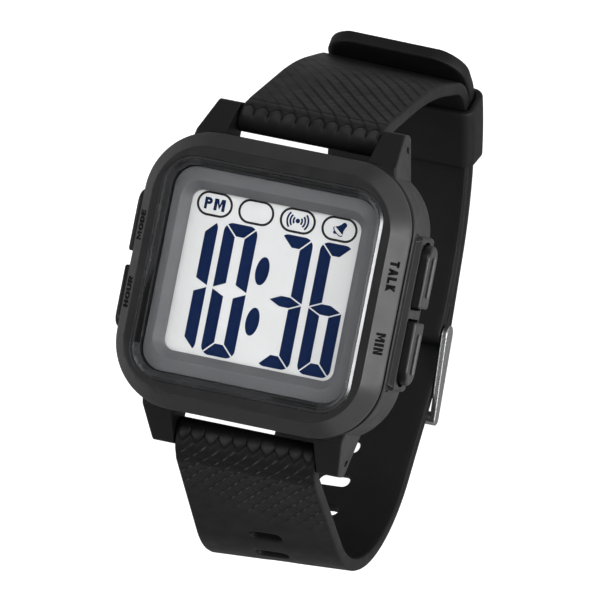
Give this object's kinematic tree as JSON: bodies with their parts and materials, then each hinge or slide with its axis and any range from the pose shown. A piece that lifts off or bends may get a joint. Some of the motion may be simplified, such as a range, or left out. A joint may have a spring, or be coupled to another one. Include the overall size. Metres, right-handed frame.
{
  "type": "talking wristwatch",
  "caption": "Talking digital wristwatch with a square black plastic case, large LCD, side buttons and a textured black rubber strap buckled into a loop",
  "frame": {"origin": "centre of the back cover's outer face", "axes": "+Z out of the dial, +Y to 12 o'clock, +X to 3 o'clock"},
  "size_m": [0.046, 0.08, 0.067],
  "materials": {
    "case_plastic": "fine moulded grain, slight sheen",
    "button_plastic": "smooth",
    "clear_plastic": "clear polished acrylic",
    "frame_plastic": "satin grey",
    "display_glass": "pale liquid-crystal display",
    "silver_sheet": "diffuse reflector",
    "inner_plastic": "plain moulded",
    "strap_rubber": "matte, scale and diamond texture",
    "gasket_rubber": "smooth",
    "board_green": "solder mask",
    "chip_resin": "resin drop",
    "bright_steel": "bright",
    "back_steel": "straight brushed",
    "buckle_steel": "satin brushed",
    "speaker_brass": "rolled sheet",
    "speaker_ceramic": "silvered"
  },
  "bodies": {
    "watch": {"back_cover": "back_steel", "back_gasket": "gasket_rubber", "back_screws": "bright_steel", "bar_spring_bottom": "bright_steel", "bar_spring_top": "bright_steel", "battery_holder": "inner_plastic", "battery_strap": "bright_steel", "battery_strap_screws": "bright_steel", "board_components": "chip_resin", "boost_coil": "chip_resin", "buckle_bar": "bright_steel", "button_contacts": "bright_steel", "case_body": "case_plastic", "circuit_board": "board_green", "coin_cell": "bright_steel", "controller_chip": "chip_resin", "display_frame": "frame_plastic", "front_bezel": "case_plastic", "lcd_panel": "display_glass", "lcd_reflector": "silver_sheet", "lens": "clear_plastic", "module_frame": "inner_plastic", "negative_contact": "bright_steel", "piezo_ceramic": "speaker_ceramic", "piezo_plate": "speaker_brass", "quartz_crystal": "bright_steel", "return_spring_hour": "bright_steel", "return_spring_min": "bright_steel", "return_spring_mode": "bright_steel", "return_spring_talk": "bright_steel", "speaker_springs": "bright_steel", "spring_bar_bottom": "bright_steel", "spring_bar_top": "bright_steel", "strap_long": "strap_rubber", "strap_short": "strap_rubber", "zebra_strips": "gasket_rubber"},
    "talk_button": {"button_talk": "button_plastic", "clip_talk": "bright_steel"},
    "min_button": {"button_min": "button_plastic", "clip_min": "bright_steel"},
    "mode_button": {"button_mode": "button_plastic", "clip_mode": "bright_steel"},
    "hour_button": {"button_hour": "button_plastic", "clip_hour": "bright_steel"},
    "tip_top_right": {"bar_tip_top_right": "bright_steel"},
    "tip_top_left": {"bar_tip_top_left": "bright_steel"},
    "tip_bottom_right": {"bar_tip_bottom_right": "bright_steel"},
    "tip_bottom_left": {"bar_tip_bottom_left": "bright_steel"},
    "strap_keeper": {"keeper": "strap_rubber"},
    "buckle": {"buckle_frame": "buckle_steel"},
    "tongue": {"buckle_tongue": "buckle_steel"}
  },
  "joints": [
    {"name": "talk_press", "type": "slide", "parent": "watch", "child": "talk_button", "axis": [-1, 0, 0], "range_m": [0, 0.0008], "stiffness_N_per_m": 1500, "deforming": ["return_spring_talk"]},
    {"name": "min_press", "type": "slide", "parent": "watch", "child": "min_button", "axis": [-1, 0, 0], "range_m": [0, 0.0008], "stiffness_N_per_m": 1500, "deforming": ["return_spring_min"]},
    {"name": "mode_press", "type": "slide", "parent": "watch", "child": "mode_button", "axis": [1, 0, 0], "range_m": [0, 0.0008], "stiffness_N_per_m": 1500, "deforming": ["return_spring_mode"]},
    {"name": "hour_press", "type": "slide", "parent": "watch", "child": "hour_button", "axis": [1, 0, 0], "range_m": [0, 0.0008], "stiffness_N_per_m": 1500, "deforming": ["return_spring_hour"]},
    {"name": "tip_top_right_slide", "type": "slide", "parent": "watch", "child": "tip_top_right", "axis": [-1, 0, 0], "range_m": [0, 0.0016], "stiffness_N_per_m": 800, "deforming": ["bar_spring_top"]},
    {"name": "tip_top_left_slide", "type": "slide", "parent": "watch", "child": "tip_top_left", "axis": [1, 0, 0], "range_m": [0, 0.0016], "stiffness_N_per_m": 800, "deforming": ["bar_spring_top"]},
    {"name": "tip_bottom_right_slide", "type": "slide", "parent": "watch", "child": "tip_bottom_right", "axis": [-1, 0, 0], "range_m": [0, 0.0016], "stiffness_N_per_m": 800, "deforming": ["bar_spring_bottom"]},
    {"name": "tip_bottom_left_slide", "type": "slide", "parent": "watch", "child": "tip_bottom_left", "axis": [1, 0, 0], "range_m": [0, 0.0016], "stiffness_N_per_m": 800, "deforming": ["bar_spring_bottom"]},
    {"name": "keeper_slide", "type": "hinge", "parent": "watch", "child": "strap_keeper", "pos_m": [0, 0.0036, -0.00497], "axis": [1, 0, 0], "range_deg": [-20, 0]},
    {"name": "buckle_swing", "type": "hinge", "parent": "watch", "child": "buckle", "pos_m": [0, -0.003, -0.04767], "axis": [1, 0, 0], "range_deg": [0, 3]},
    {"name": "tongue_swing", "type": "hinge", "parent": "buckle", "child": "tongue", "pos_m": [0, -0.003, -0.04767], "axis": [1, 0, 0], "range_deg": [0, 1.5]}
  ]
}
